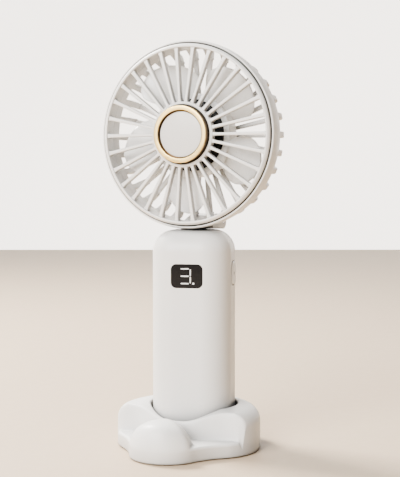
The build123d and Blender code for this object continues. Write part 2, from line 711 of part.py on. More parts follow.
ring_profile = [
    (RING_FRONT - 0.5, OPENING_RADIUS),
    (RING_FRONT, OPENING_RADIUS + 0.5),
    (RING_FRONT - 0.1, OPENING_RADIUS + 1.0),
    (RIM_FRONT + 0.9, RING_RADIUS - 0.25),
    (RIM_FRONT + 0.5, RING_RADIUS),
    (RIM_FRONT - 1.35, RING_RADIUS),
    (RIM_FRONT - 1.35, BAND_BORE + 0.55),
    (RIM_FRONT - 5.2, BAND_BORE + 0.55),
    (RIM_FRONT - 5.2, OPENING_RADIUS),
]
save(turned(ring_profile, HEAD_SECTION, AIR_AXIS), "front_ring")

hub_profile = [
    (9.4, 0),
    (9.4, HUB_RADIUS - 1.4),
    (10.6, HUB_RADIUS),
    (HUB_FRONT - 0.5, HUB_RADIUS),
    (HUB_FRONT, HUB_RADIUS - 0.5),
    (HUB_FRONT, BEZEL_RADIUS + 0.35),
    (HUB_FRONT - 0.5, BEZEL_RADIUS + 0.05),
    (11.0, BEZEL_RADIUS + 0.05),
    (11.0, 0),
]
save(turned(hub_profile, HEAD_SECTION, AIR_AXIS), "hub_cup")

grille_zone = tube(HEAD, 0, HUB_FRONT + 1, OPENING_RADIUS - 0.03, HUB_RADIUS + 0.03)
with BuildPart() as front_grille:
    add(all_round(spoke().part))
    add(grille_zone.part, mode=Mode.INTERSECT)
save(front_grille, "front_grille")

bezel_profile = [
    (11.05, DISC_RADIUS - 1.0),
    (11.05, BEZEL_RADIUS),
    (BEZEL_FRONT - 0.9, BEZEL_RADIUS),
    (BEZEL_FRONT - 0.15, BEZEL_RADIUS - 0.5),
    (BEZEL_FRONT, BEZEL_RADIUS - 1.0),
    (BEZEL_FRONT, DISC_RADIUS + 0.35),
    (BEZEL_FRONT - 0.3, DISC_RADIUS + 0.08),
    (DISC_FRONT - 1.5, DISC_RADIUS + 0.08),
    (DISC_FRONT - 1.5, DISC_RADIUS - 1.0),
]
save(turned(bezel_profile, HEAD_SECTION, AIR_AXIS), "bezel_ring")

disc_profile = [
    (DISC_FRONT - 1.45, 0),
    (DISC_FRONT - 1.45, DISC_RADIUS),
    (DISC_FRONT - 0.3, DISC_RADIUS),
    (DISC_FRONT, DISC_RADIUS - 0.3),
    (DISC_FRONT, 0),
]
save(turned(disc_profile, HEAD_SECTION, AIR_AXIS), "centre_disc")

# ---------------------------------------------------------------- motor

MOTOR_BOARD_REAR = REAR_HUB_FRONT + 0.1
STATOR_REAR = -5.6
STATOR_FRONT = 0.4
STATOR_RADIUS = 14.6
MAGNET_RADIUS = 15.0
TUBE_FRONT = 1.6

save(tube(HEAD, BACK_PLANE + 1.02, TUBE_FRONT, BEARING_OUTER + 0.98, BEARING_OUTER), "bearing_tube")

with BuildPart() as motor_bearings:
    add(tube(HEAD, BACK_PLANE + 1.4, BACK_PLANE + 4.4, BEARING_OUTER, SHAFT_RADIUS + FIT).part)
    add(tube(HEAD, TUBE_FRONT - 3.1, TUBE_FRONT - 0.1, BEARING_OUTER, SHAFT_RADIUS + FIT).part)
save(motor_bearings, "motor_bearings")

save(tube(HEAD, MOTOR_BOARD_REAR, MOTOR_BOARD_REAR + 1.0, 13.0, BEARING_OUTER + 1.0), "motor_board")

POLE_COUNT = 9
with BuildPart() as stator_core:
    with BuildSketch(HEAD.offset(STATOR_REAR)):
        Circle(6.6)
        with PolarLocations(STATOR_RADIUS / 2 + 1.5, POLE_COUNT):
            Rectangle(STATOR_RADIUS - 4.0, 2.2)
        with BuildSketch(mode=Mode.PRIVATE) as shoes:
            Circle(STATOR_RADIUS)
            Circle(STATOR_RADIUS - 1.4, mode=Mode.SUBTRACT)
            with PolarLocations(STATOR_RADIUS, POLE_COUNT, start_angle=180 / POLE_COUNT):
                Rectangle(6, 1.8, mode=Mode.SUBTRACT)
        add(shoes.sketch)
        Circle(STATOR_RADIUS, mode=Mode.INTERSECT)
        Circle(BEARING_OUTER + 1.0, mode=Mode.SUBTRACT)
    extrude(amount=STATOR_FRONT - STATOR_REAR)
save(stator_core, "stator_core")

with BuildPart() as stator_windings:
    with BuildSketch(HEAD.offset(STATOR_REAR - 0.7)):
        with PolarLocations(9.9, POLE_COUNT):
            RectangleRounded(4.6, 4.2, 0.8)
    extrude(amount=STATOR_FRONT - STATOR_REAR + 1.4)
    with BuildSketch(HEAD.offset(STATOR_REAR)):
        with PolarLocations(9.9, POLE_COUNT):
            Rectangle(8, 2.26)
    extrude(amount=STATOR_FRONT - STATOR_REAR, mode=Mode.SUBTRACT)
save(stator_windings, "stator_windings")

bell_profile = [
    (-6.6, MAGNET_RADIUS + 1.4),
    (-6.6, ROTOR_RADIUS),
    (ROTOR_FRONT - 0.8, ROTOR_RADIUS),
    (ROTOR_FRONT, ROTOR_RADIUS - 0.8),
    (ROTOR_FRONT, SHAFT_RADIUS),
    (TUBE_FRONT + 0.4, SHAFT_RADIUS),
    (TUBE_FRONT + 0.4, 3.0),
    (ROTOR_FRONT - 1.0, 3.6),
    (ROTOR_FRONT - 1.0, MAGNET_RADIUS + 1.4),
]
with BuildPart() as rotor_bell:
    add(turned(bell_profile, HEAD_SECTION, AIR_AXIS).part)
    with BuildSketch(HEAD.offset(ROTOR_FRONT - 2)):
        with PolarLocations(10.5, 6):
            SlotOverall(7.0, 3.4, rotation=90)
    extrude(amount=4, mode=Mode.SUBTRACT)
save(rotor_bell, "rotor_bell")
save(tube(HEAD, -6.0, 1.6, MAGNET_RADIUS + 1.4, MAGNET_RADIUS), "magnet_ring")

with BuildPart() as motor_shaft:
    add(tube(HEAD, BACK_PLANE + 1.3, ROTOR_FRONT + 0.6, SHAFT_RADIUS).part)
    add(tube(HEAD, BACK_PLANE + 4.7, BACK_PLANE + 5.2, SHAFT_RADIUS + 0.6).part)
save(motor_shaft, "motor_shaft")

# ---------------------------------------------------------------- impeller

BLADE_OUTLINE = (        # degrees clockwise from the blade's middle, and radius
    (-17, 19.0),
    (-25, 24.0),
    (-28, 29.0),
    (-25, 33.6),
    (-18, 36.9),
    (-8, BLADE_TIP),
    (3, 37.4),
    (13, 34.8),
    (21, 31.2),
    (26, 27.0),
    (25, 22.5),
    (20, 19.0),
)


def blade():
    """One wide twisted blade with a rounded outline, standing up from the hub."""
    edge = [(radius * sin(radians(turn)), radius * cos(radians(turn))) for turn, radius in BLADE_OUTLINE]
    with BuildPart() as body:
        for reach, pitch, thick in ((17.0, 36, 1.5), (25.0, 27, 1.4), (32.0, 22, 1.2), (39.0, 19, 1.1)):
            station = Plane(origin=(0, 0, HEAD_HEIGHT + reach), x_dir=(1, 0, 0), z_dir=(0, 0, 1))
            with BuildSketch(station.rotated((0, 0, pitch))):
                Rectangle(BLADE_WIDE, thick)
        loft()
        with BuildSketch(HEAD.offset(-15)):
            with BuildLine():
                Spline(*edge)
                Line(edge[-1], edge[0])
            make_face()
        extrude(amount=30, mode=Mode.INTERSECT)
    return body


with BuildPart() as impeller:
    add(tube(HEAD, -5.0, 4.4, IMPELLER_HUB_RADIUS, ROTOR_RADIUS + 0.03).part)
    one = blade().part
    add([one.rotate(AIR_AXIS, -(BLADE_PHASE + i * 360 / BLADE_COUNT)) for i in range(BLADE_COUNT)])
    add(tube(HEAD, -15, 15, ROTOR_RADIUS + 0.03).part, mode=Mode.SUBTRACT)
save(impeller, "impeller")
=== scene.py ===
"""The fan's looks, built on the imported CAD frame.

Shapes are in millimetres, with x to the right, "forward" along -y and z up. The camera, the
lights, the floor and the backdrop are in metres.
"""

import json
import math

import bmesh
import bpy
from mathutils import Matrix, Vector


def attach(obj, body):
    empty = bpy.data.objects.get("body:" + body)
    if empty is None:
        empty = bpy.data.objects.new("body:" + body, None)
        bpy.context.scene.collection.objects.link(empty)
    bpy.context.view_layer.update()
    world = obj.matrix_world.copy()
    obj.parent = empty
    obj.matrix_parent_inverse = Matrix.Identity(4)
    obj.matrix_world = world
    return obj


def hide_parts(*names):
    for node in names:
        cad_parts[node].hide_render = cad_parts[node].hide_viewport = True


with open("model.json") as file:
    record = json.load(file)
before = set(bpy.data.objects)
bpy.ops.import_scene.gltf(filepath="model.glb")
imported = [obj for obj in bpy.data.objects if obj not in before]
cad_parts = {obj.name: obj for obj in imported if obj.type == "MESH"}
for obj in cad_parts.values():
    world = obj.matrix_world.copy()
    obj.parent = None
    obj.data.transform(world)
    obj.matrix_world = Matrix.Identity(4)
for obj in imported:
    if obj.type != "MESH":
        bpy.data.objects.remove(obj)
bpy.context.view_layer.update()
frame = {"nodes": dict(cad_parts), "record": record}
NODES = frame["nodes"]
MM = 0.001

# ---------------------------------------------------------------- camera

CAMERA_TURN = math.radians(24.0)
CAMERA_DISTANCE = 0.536
CAMERA_HEIGHT = 0.129
AIM_RIGHT = 0.0028
AIM_HEIGHT = 0.1005
LENS = 83.0
TOWARDS = Vector((math.sin(CAMERA_TURN), -math.cos(CAMERA_TURN), 0))
RIGHT = Vector((math.cos(CAMERA_TURN), math.sin(CAMERA_TURN), 0))
UP = Vector((0, 0, 1))


def look(thing, place, aim):
    """Put a lamp or camera somewhere, facing a point."""
    thing.location = place
    thing.rotation_euler = (Vector(aim) - Vector(place)).to_track_quat("-Z", "Y").to_euler()
    bpy.context.scene.collection.objects.link(thing)


camera_data = bpy.data.cameras.new("camera")
camera_data.lens = LENS
camera = bpy.data.objects.new("camera", camera_data)
look(camera, TOWARDS * CAMERA_DISTANCE + UP * CAMERA_HEIGHT, RIGHT * AIM_RIGHT + UP * AIM_HEIGHT)
bpy.context.scene.camera = camera

# ---------------------------------------------------------------- materials

TINT_PATCH = 22.0
GLOSS_PATCH = 5.0
NOISE_SPAN = (0.3, 0.7)
LEAST_ROUGH = 0.02
BUMP_DEPTH = 0.05
COAT_ROUGH = 0.08
SCATTER_DEPTH = 1.5
SCATTER_TINT = (1.0, 0.9, 0.75)
# Painted shade in closed-in places: how far the occlusion looks, its samples, and the occlusion
# range that is mapped to darkness.
RECESS_SHADE_REACH = 14
RECESS_SHADE_SAMPLES = 8
RECESS_SHADE_SPAN = (0.15, 0.85)


def rescale(tree, value, before, after=(0.0, 1.0)):
    """A socket with a value carried over from one range to another."""
    node = tree.nodes.new("ShaderNodeMapRange")
    for name, number in zip(("From Min", "From Max", "To Min", "To Max"), (*before, *after)):
        node.inputs[name].default_value = number
    tree.links.new(value, node.inputs["Value"])
    return node.outputs["Result"]


def blend_node(tree, factor):
    """A mix of two colours, A and B."""
    node = tree.nodes.new("ShaderNodeMix")
    node.data_type = "RGBA"
    tree.links.new(factor, node.inputs["Factor"])
    return node


def material(name, colour, rough, metal=0.0, mottle=0.03, grain=0.0, grain_size=0.4,
             rough_spread=0.06, coat=0.0, scatter=0.0, glow=0.0, shine=0.5, recess_shade=0.0):
    """A finish with its own slight unevenness of colour, gloss and surface.

    recess_shade is how much painted shade darkens the colour where the surface is closed in.
    """
    finish = bpy.data.materials.new(name)
    finish.use_nodes = True
    tree = finish.node_tree
    shader = tree.nodes["Principled BSDF"]
    place = tree.nodes.new("ShaderNodeTexCoord")

    def noise(patch, detail):
        texture = tree.nodes.new("ShaderNodeTexNoise")
        texture.inputs["Scale"].default_value = 1 / (patch * MM)
        texture.inputs["Detail"].default_value = detail
        tree.links.new(place.outputs["Object"], texture.inputs["Vector"])
        return texture.outputs["Fac"]

    tint = blend_node(tree, noise(TINT_PATCH, 3.0))
    tint.inputs["A"].default_value = (*[c * (1 - mottle) for c in colour], 1)
    tint.inputs["B"].default_value = (*[min(1, c * (1 + mottle)) for c in colour], 1)
    paint = tint.outputs["Result"]
    # Painted shade: an ambient occlusion node darkens the colour in closed-in places.
    if recess_shade:
        recess_occlusion = tree.nodes.new("ShaderNodeAmbientOcclusion")
        recess_occlusion.samples = RECESS_SHADE_SAMPLES
        recess_occlusion.inputs["Distance"].default_value = RECESS_SHADE_REACH * MM
        shade = rescale(tree, recess_occlusion.outputs["AO"], RECESS_SHADE_SPAN, (1 - recess_shade, 1.0))
        darker = tree.nodes.new("ShaderNodeVectorMath")
        darker.operation = "SCALE"
        tree.links.new(paint, darker.inputs["Vector"])
        tree.links.new(shade, darker.inputs["Scale"])
        paint = darker.outputs["Vector"]
    tree.links.new(paint, shader.inputs["Base Color"])

    roughs = (max(LEAST_ROUGH, rough - rough_spread), rough + rough_spread)
    gloss = rescale(tree, noise(GLOSS_PATCH, 4.0), NOISE_SPAN, roughs)
    tree.links.new(gloss, shader.inputs["Roughness"])

    if grain:
        bump = tree.nodes.new("ShaderNodeBump")
        bump.inputs["Strength"].default_value = grain
        bump.inputs["Distance"].default_value = BUMP_DEPTH * MM
        tree.links.new(noise(grain_size, 2.0), bump.inputs["Height"])
        tree.links.new(bump.outputs["Normal"], shader.inputs["Normal"])
    if scatter:
        shader.inputs["Subsurface Weight"].default_value = scatter
        shader.inputs["Subsurface Radius"].default_value = SCATTER_TINT
        shader.inputs["Subsurface Scale"].default_value = SCATTER_DEPTH * MM
    if glow:
        shader.inputs["Emission Color"].default_value = (*colour, 1)
        shader.inputs["Emission Strength"].default_value = glow
    shader.inputs["Metallic"].default_value = metal
    shader.inputs["Coat Weight"].default_value = coat
    shader.inputs["Coat Roughness"].default_value = COAT_ROUGH
    shader.inputs["Specular IOR Level"].default_value = shine
    return finish


# recess_shade paints shade into the closed-in places of the white plastics.
LOOKS = {
    "white_shell": dict(
        colour=(0.76, 0.752, 0.738), rough=0.40, mottle=0.012, grain=0.12, scatter=0.05, recess_shade=0.80
    ),
    "blade_white": dict(
        colour=(0.85, 0.842, 0.825), rough=0.30, mottle=0.012, grain=0.05, scatter=0.1, recess_shade=0.25
    ),
    "gold_metal": dict(colour=(1.0, 0.71, 0.26), rough=0.36, metal=1.0, grain=0.03),
    "satin_disc": dict(
        colour=(0.66, 0.645, 0.62), rough=0.42, mottle=0.02, grain=0.35, grain_size=0.25, coat=0.1
    ),
    "black_glass": dict(
        colour=(0.006, 0.006, 0.007), rough=0.10, mottle=0.2, rough_spread=0.02, shine=0.12
    ),
    "lit_white": dict(colour=(0.72, 0.73, 0.74), rough=0.4, mottle=0.01, glow=0.12),
    "grey_lens": dict(colour=(0.20, 0.20, 0.21), rough=0.25, mottle=0.08, coat=0.3),
    "grey_silicone": dict(
        colour=(0.36, 0.36, 0.355), rough=0.72, mottle=0.06, grain=0.4, grain_size=0.8
    ),
    "black_plastic": dict(colour=(0.022, 0.022, 0.024), rough=0.45, mottle=0.15, grain=0.2),
    "circuit_board": dict(
        colour=(0.012, 0.11, 0.05), rough=0.35, mottle=0.2, grain=0.3, coat=0.3
    ),
    "cell_wrap": dict(colour=(0.035, 0.16, 0.36), rough=0.3, mottle=0.06, grain=0.1, coat=0.4),
    "steel": dict(colour=(0.62, 0.62, 0.63), rough=0.28, metal=1.0, mottle=0.05, grain=0.08),
    "black_metal": dict(
        colour=(0.018, 0.018, 0.02), rough=0.33, metal=0.3, mottle=0.2, grain=0.15, coat=0.2
    ),
    "brass": dict(colour=(0.78, 0.58, 0.27), rough=0.25, metal=1.0, mottle=0.05, grain=0.06),
    "copper": dict(
        colour=(0.72, 0.32, 0.14), rough=0.3, metal=1.0, mottle=0.12, grain=0.6, grain_size=0.6
    ),
}
FINISH = {name: material(name, **look) for name, look in LOOKS.items()}
SLOT_OF = {part["node"]: part["material_slot"] for part in frame["record"]["subparts"]}
GOLD_FACE = 17.2
# Painted dark reflection for the gold ring's side walls, behind its front face.
GOLD_SIDE_REFLECTION = (0.16, 0.10, 0.05)
WALL_CHANGE = 0.25


def paint_wall_reflection(finish, level, colour):
    """Painted reflection: a second colour for everything behind a flat front face, which lies at a
    forward distance.
    """
    tree = finish.node_tree
    paint = tree.nodes["Principled BSDF"].inputs["Base Color"]
    face = paint.links[0].from_socket
    place = tree.nodes.new("ShaderNodeTexCoord")
    split = tree.nodes.new("ShaderNodeSeparateXYZ")
    tree.links.new(place.outputs["Object"], split.inputs["Vector"])
    change = (-level * MM, -(level - WALL_CHANGE) * MM)
    blend = blend_node(tree, rescale(tree, split.outputs["Y"], change))
    blend.inputs["B"].default_value = (*colour, 1)
    tree.links.new(face, blend.inputs["A"])
    tree.links.new(blend.outputs["Result"], paint)


# Painted reflection: the gold ring's side walls are coloured dark brown.
paint_wall_reflection(FINISH["gold_metal"], GOLD_FACE, GOLD_SIDE_REFLECTION)

# ---------------------------------------------------------------- numbers and outlines


def smooth(t):
    """A soft step from 0 to 1."""
    t = min(1.0, max(0.0, t))
    return t * t * (3 - 2 * t)


def mix(a, b, t):
    return a + (b - a) * t


def blend_max(a, b, width):
    """The larger of two heights, with a soft change from one to the other."""
    gap = max(width - abs(a - b), 0.0) / width
    return max(a, b) + gap * gap * width / 4


def quarter(steps):
    """Sine and cosine at even steps through a quarter turn, without its start."""
    bends = [math.pi / 2 * k / steps for k in range(1, steps + 1)]
    return [(math.sin(bend), math.cos(bend)) for bend in bends]


def rounded(loop, radius, steps=4):
    """A closed 2-D outline with its corners rounded by one radius, or by one for each corner."""
    out = []
    for i, here in enumerate(loop):
        here = Vector(here)
        before = Vector(loop[i - 1])
        after = Vector(loop[(i + 1) % len(loop)])
        size = radius[i] if isinstance(radius, (list, tuple)) else radius
        reach = min(size, 0.45 * (before - here).length, 0.45 * (after - here).length)
        if reach <= 0:
            out.append(here)
            continue
        start = here + (before - here).normalized() * reach
        end = here + (after - here).normalized() * reach
        for k in range(steps + 1):
            t = k / steps
            out.append(start * (1 - t) ** 2 + here * 2 * t * (1 - t) + end * t**2)
    return out


def inset(loop, amount):
    """A closed 2-D outline moved inwards."""
    area = sum(a[0] * b[1] - b[0] * a[1] for a, b in zip(loop, loop[1:] + loop[:1]))
    side = 1 if area > 0 else -1
    out = []
    for i, here in enumerate(loop):
        along = (Vector(loop[(i + 1) % len(loop)]) - Vector(loop[i - 1])).normalized()
        out.append(Vector(here) + Vector((-along.y, along.x)) * side * amount)
    return out


HEAD_HEIGHT = 150.6


def air(radius, turn, forward, across=0.0):
    """A point at a radius and clockwise turn about the air axis, moved across that radius."""
    east, up = math.sin(turn), math.cos(turn)
    height = HEAD_HEIGHT + radius * up - across * east
    return Vector((radius * east + across * up, -forward, height))


# ---------------------------------------------------------------- meshes

TURNED_FACETS = 240
WELD = 1e-7


class Shape:
    """Points and faces that several closed shells share."""

    def __init__(self):
        self.points = []
        self.faces = []

    def row(self, points):
        """Add points, and give back their numbers."""
        start = len(self.points)
        self.points.extend(points)
        return list(range(start, start + len(points)))

    def skin(self, rows, closed=True):
        """Quads between rows of equal length, one after another."""
        for first, second in zip(rows, rows[1:]):
            count = len(first)
            for i in range(count if closed else count - 1):
                j = (i + 1) % count
                self.faces.append((first[i], first[j], second[j], second[i]))

    def cap(self, row):
        self.faces.append(tuple(row))

    def sweep(self, sections):
        """A closed solid through sections, each a list of points of equal count."""
        rows = [self.row(section) for section in sections]
        self.skin(rows)
        self.cap(rows[0])
        self.cap(rows[-1])

    def fin(self, loop, turn, thick, edge, steps):
        """A plate with rounded rims, from a (forward, radius) outline that stands at a turn."""
        levels = [(thick / 2 - edge, 0.0)]
        levels += [(thick / 2 - edge + edge * s, edge * (1 - c)) for s, c in quarter(steps)]
        levels = [(-z, drawn) for z, drawn in reversed(levels)] + levels
        self.sweep(
            [[air(p.y, turn, p.x, z) for p in inset(loop, drawn)] for z, drawn in levels]
        )

    def bar(self, turn, stations, corner):
        """A bar out from the hub; each station is a radius, half a width, a back and a front."""
        sections = []
        for radius, half, back, front in stations:
            corners = [(-half, back), (half, back), (half, front), (-half, front)]
            section = rounded(corners, corner, 3)
            sections.append([air(radius, turn, forward, across) for across, forward in section])
        self.sweep(sections)

    def turned(self, loop, count):
        """Rows for an outline of (forward, radius) points turned about the air axis."""
        turns = [2 * math.pi * i / count for i in range(count)]
        rows = []
        for forward, radius in loop:
            rows.append(self.row([air(radius, turn, forward) for turn in turns]))
        return rows

    def lathe(self, loop, count=TURNED_FACETS):
        """A ring from a closed outline."""
        rows = self.turned(loop, count)
        self.skin(rows + rows[:1])

    def disc(self, loop):
        """A solid from an outline that starts and ends beside the axis."""
        self.skin(self.turned(loop, TURNED_FACETS))

    def piece(self, name, body, nodes, sharp=35):
        """The finished mesh, riding on a body in place of CAD nodes."""
        data = bpy.data.meshes.new(name)
        data.from_pydata([Vector(p) * MM for p in self.points], [], self.faces)
        work = bmesh.new()
        work.from_mesh(data)
        bmesh.ops.remove_doubles(work, verts=work.verts, dist=WELD)
        bmesh.ops.dissolve_degenerate(work, edges=work.edges, dist=WELD)
        bmesh.ops.recalc_face_normals(work, faces=work.faces)
        work.to_mesh(data)
        work.free()
        data.shade_smooth()
        data.set_sharp_from_angle(angle=math.radians(sharp))
        thing = bpy.data.objects.new(name, data)
        bpy.context.scene.collection.objects.link(thing)
        slot = SLOT_OF[nodes[0]]
        data.materials.append(FINISH[slot])
        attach(thing, body)
        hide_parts(*nodes)


# ---------------------------------------------------------------- base

POCKET_RADIUS = 21.3
POCKET_FLOOR = 5.2
POCKET_CORNER = 1.2
POCKET_LIP = 1.0

# The outline: a round tip in front, a waist, a round side and a round back.
TIP = (30.7, 18.0)
SIDE = (11.9, 7.5, 23.5)
WAIST_RADIUS = 39.0
BACK_EDGE = 27.0
ARC_STEPS = 40

# The upper surface: a slot across, a rim that climbs from the front to the back, and a lobe.
SLOT_FLOOR = 7.2
RIM_FRONT = 15.1
RIM_BACK = 20.5
RIM_CLIMB = (8, 56)
RIM_CROWN = 0.0006
WALL_FOOT = 19.2
WALL_RUN = 3.0
WALL_BLEND = 9.0
COLLAR_FOOT = POCKET_RADIUS + 4.6
LOBE_RADIUS = 13.7
LOBE_AHEAD = 34.4
LOBE_RISE = 11.2
LOBE_BACK = (30.6, 2.2)
LOBE_SPARE = 0.6
LOBE_POWERS = ((2.0, 2.8), (0.72, 0.45))

# The outer edge and the underside.
EDGE_ROUND = (1.4, 6.5)
EDGE_ROUND_RISE = 11
EDGE_SAMPLE = 2.5
FOOT_TOP = 1.1
FOOT_ROUND = 0.7
FOOT = 0.4
FOOT_WIDE = 2.5
CEILING = 3.8
AXIS_RADIUS = 0.01


def base_edge():
    """The base's outline as (right, forward) points, from the tip round to the tip again."""
    tip, side = Vector((0, TIP[0])), Vector(SIDE[:2])
    tip_reach, side_reach = TIP[1] + WAIST_RADIUS, SIDE[2] + WAIST_RADIUS
    span = side - tip
    step = (tip_reach**2 - side_reach**2 + span.length**2) / (2 * span.length)
    along = span.normalized()
    outward = Vector((-along.y, along.x))
    waist = tip + along * step + outward * (tip_reach**2 - step**2) ** 0.5
    reach = BACK_EDGE + SIDE[1]
    back_radius = (SIDE[0] ** 2 + reach**2 - SIDE[2] ** 2) / (2 * (reach - SIDE[2]))
    back = Vector((0, back_radius - BACK_EDGE))
    tip_end = tip + (waist - tip).normalized() * TIP[1]
    side_start = side + (waist - side).normalized() * SIDE[2]
    side_end = side + (side - back).normalized() * SIDE[2]
    half = []
    for centre, radius, start, end in (
        (tip, TIP[1], tip + Vector((0, TIP[1])), tip_end),
        (waist, WAIST_RADIUS, tip_end, side_start),
        (side, SIDE[2], side_start, side_end),
        (back, back_radius, side_end, Vector((0, -BACK_EDGE))),
    ):
        first = math.atan2(*(start - centre).yx)
        turn = (math.atan2(*(end - centre).yx) - first + math.pi) % (2 * math.pi) - math.pi
        for k in range(ARC_STEPS):
            angle = first + turn * k / ARC_STEPS
            half.append(centre + Vector((math.cos(angle), math.sin(angle))) * radius)
    half.append(Vector((0, -BACK_EDGE)))
    return half + [Vector((-p.x, p.y)) for p in reversed(half[1:-1])]


def reach_at(outline, turn):
    """Distance from the handle axis to the outline, clockwise from the front."""
    way = Vector((math.sin(turn), math.cos(turn)))
    for a, b in zip(outline, outline[1:] + outline[:1]):
        side_a = way.x * a.y - way.y * a.x
        side_b = way.x * b.y - way.y * b.x
        if side_a * side_b <= 0 and (a + b).dot(way) > 0 and side_a != side_b:
            t = side_a / (side_a - side_b)
            return (a + (b - a) * t).dot(way)
    raise ValueError("the outline does not surround the axis")


def lobe_height(x, forward):
    """Height of the front lobe, which widens to the tip's outline ahead of its middle."""
    ahead = forward - LOBE_AHEAD
    spread = math.hypot(x, ahead)
    facing = max(0.0, ahead / spread) if spread > 0.01 else 0.0
    offset = LOBE_AHEAD - TIP[0]
    to_edge = math.sqrt(TIP[1] ** 2 - offset**2 * (1 - facing**2)) - offset * facing
    reach = mix(LOBE_RADIUS, to_edge + LOBE_SPARE, smooth(facing / 0.5))
    if spread >= reach:
        return SLOT_FLOOR
    inner, outer = (mix(*power, facing) for power in LOBE_POWERS)
    bulge = (1 - (spread / reach) ** inner) ** outer
    start, run = LOBE_BACK
    return SLOT_FLOOR + LOBE_RISE * bulge * smooth((forward - start) / run)


def base_height(x, forward):
    """Height of the base's upper surface."""
    turn = abs(math.degrees(math.atan2(x, forward)))
    climb = smooth((turn - RIM_CLIMB[0]) / RIM_CLIMB[1])
    rim = RIM_FRONT + (RIM_BACK - RIM_FRONT) * climb - RIM_CROWN * x * x
    behind_foot = blend_max(WALL_FOOT - forward, COLLAR_FOOT - math.hypot(x, forward), WALL_BLEND)
    wall = SLOT_FLOOR + (rim - SLOT_FLOOR) * smooth(behind_foot / WALL_RUN)
    return max(wall, lobe_height(x, forward))


def make_base():
    outline = base_edge()
    count = 420
    turns = [2 * math.pi * i / count for i in range(count)]
    edges = [reach_at(outline, turn) for turn in turns]
    shape = Shape()

    def ring(radii, heights):
        return shape.row(
            [
                Vector((r * math.sin(turn), -r * math.cos(turn), z))
                for r, z, turn in zip(radii, heights, turns)
            ]
        )

    def level(radius, height):
        return ring([radius] * count, [height] * count)

    def top_at(radius, turn):
        return base_height(radius * math.sin(turn), radius * math.cos(turn))

    # Out along the pocket's floor, up its wall and over its lip.
    corner, lip = POCKET_CORNER, POCKET_LIP
    rim = [top_at(POCKET_RADIUS + lip, turn) for turn in turns]
    rows = [level(r, POCKET_FLOOR) for r in (AXIS_RADIUS, 10, POCKET_RADIUS - corner)]
    for s, c in quarter(4):
        rows.append(level(POCKET_RADIUS - corner + corner * s, POCKET_FLOOR + corner - corner * c))
    for k in range(1, 6):
        heights = [mix(POCKET_FLOOR + corner, z - lip, k / 5) for z in rim]
        rows.append(ring([POCKET_RADIUS] * count, heights))
    for s, c in quarter(5):
        radii = [POCKET_RADIUS + lip - lip * c] * count
        rows.append(ring(radii, [z - lip + lip * s for z in rim]))

    # Across the top to the outer edge, which is rounded more where the top is high.
    rounds = [
        mix(*EDGE_ROUND, smooth((top_at(edge - EDGE_SAMPLE, turn) - SLOT_FLOOR) / EDGE_ROUND_RISE))
        for edge, turn in zip(edges, turns)
    ]
    for t, _ in quarter(96):
        radii = [mix(POCKET_RADIUS + lip, edge, t) for edge in edges]
        heights = []
        for radius, edge, turn, size in zip(radii, edges, turns, rounds):
            depth = max(0.0, size - (edge - radius))
            heights.append(top_at(radius, turn) - size + math.sqrt(max(size**2 - depth**2, 0)))
        rows.append(ring(radii, heights))

    # Down the side, round the foot and in under the base.
    for k in range(1, 9):
        rows.append(ring(edges, [mix(z, FOOT_TOP, k / 8) for z in heights]))
    for s, c in quarter(3):
        radii = [edge - FOOT_ROUND + FOOT_ROUND * c for edge in edges]
        rows.append(ring(radii, [FOOT_TOP - FOOT_ROUND * s] * count))
    inner = [edge - FOOT_WIDE for edge in edges]
    rows += [ring(inner, [z] * count) for z in (FOOT, CEILING)]
    rows += [level(r, CEILING) for r in (10, AXIS_RADIUS)]
    shape.skin(rows)
    shape.cap(rows[0])
    shape.cap(rows[-1])
    shape.piece("base_shell", "base", ["base_body"], sharp=50)


make_base()

# ---------------------------------------------------------------- front of the head

OPENING = 41.4
SPOKES = 30
SPOKE_TURNS = [2 * math.pi * (i + 0.5) / SPOKES for i in range(SPOKES)]
SPOKE_STEPS = 12
SPOKE_WIDE = (1.25, 1.75)
SPOKE_FLARE = 0.5
SPOKE_FRONT = (14.0, 11.75)
SPOKE_DEEP = 3.2
SPOKE_ROUND = 0.42
HUB = 15.6
BEZEL = 13.6
BEZEL_SEAT = BEZEL + 0.05
BEZEL_GROOVE = BEZEL + 0.6
DISC = 10.8
CENTRE_RADIUS = 0.02


def make_front_ring():
    shape = Shape()
    loop = [
        (12.35, OPENING),
        (12.45, OPENING + 0.8),
        (11.4, 43.15),
        (9.05, 43.2),
        (9.05, 42.15),
        (5.2, 42.15),
        (5.2, OPENING + 0.1),
    ]
    shape.lathe(rounded(loop, [0.5, 0.8, 0.3, 0.1, 0.1, 0.2, 0.2], steps=5), 288)
    shape.piece("opening_ring", "head", ["front_ring"])


def make_grille():
    shape = Shape()
    hub = [
        (9.4, CENTRE_RADIUS),
        (9.4, HUB - 1.2),
        (10.6, HUB),
        (14.4, HUB),
        (14.4, BEZEL_GROOVE),
        (12.2, BEZEL_GROOVE),
        (12.2, BEZEL_SEAT),
        (11.0, BEZEL_SEAT),
        (11.0, CENTRE_RADIUS),
    ]
    shape.disc(rounded(hub, [0, 0.8, 0.8, 0.7, 0.25, 0.1, 0.1, 0.1, 0], steps=5))
    stations = []
    for k in range(SPOKE_STEPS + 1):
        t = k / SPOKE_STEPS
        flare = SPOKE_FLARE * (smooth((0.10 - t) / 0.10) + smooth((t - 0.93) / 0.07))
        front = mix(*SPOKE_FRONT, t)
        half = mix(*SPOKE_WIDE, t) / 2 + flare
        stations.append((mix(HUB - 0.9, OPENING + 0.7, t), half, front - SPOKE_DEEP, front))
    for turn in SPOKE_TURNS:
        shape.bar(turn, stations, SPOKE_ROUND)
    shape.piece("front_spokes", "head", ["front_grille", "hub_cup"], sharp=50)


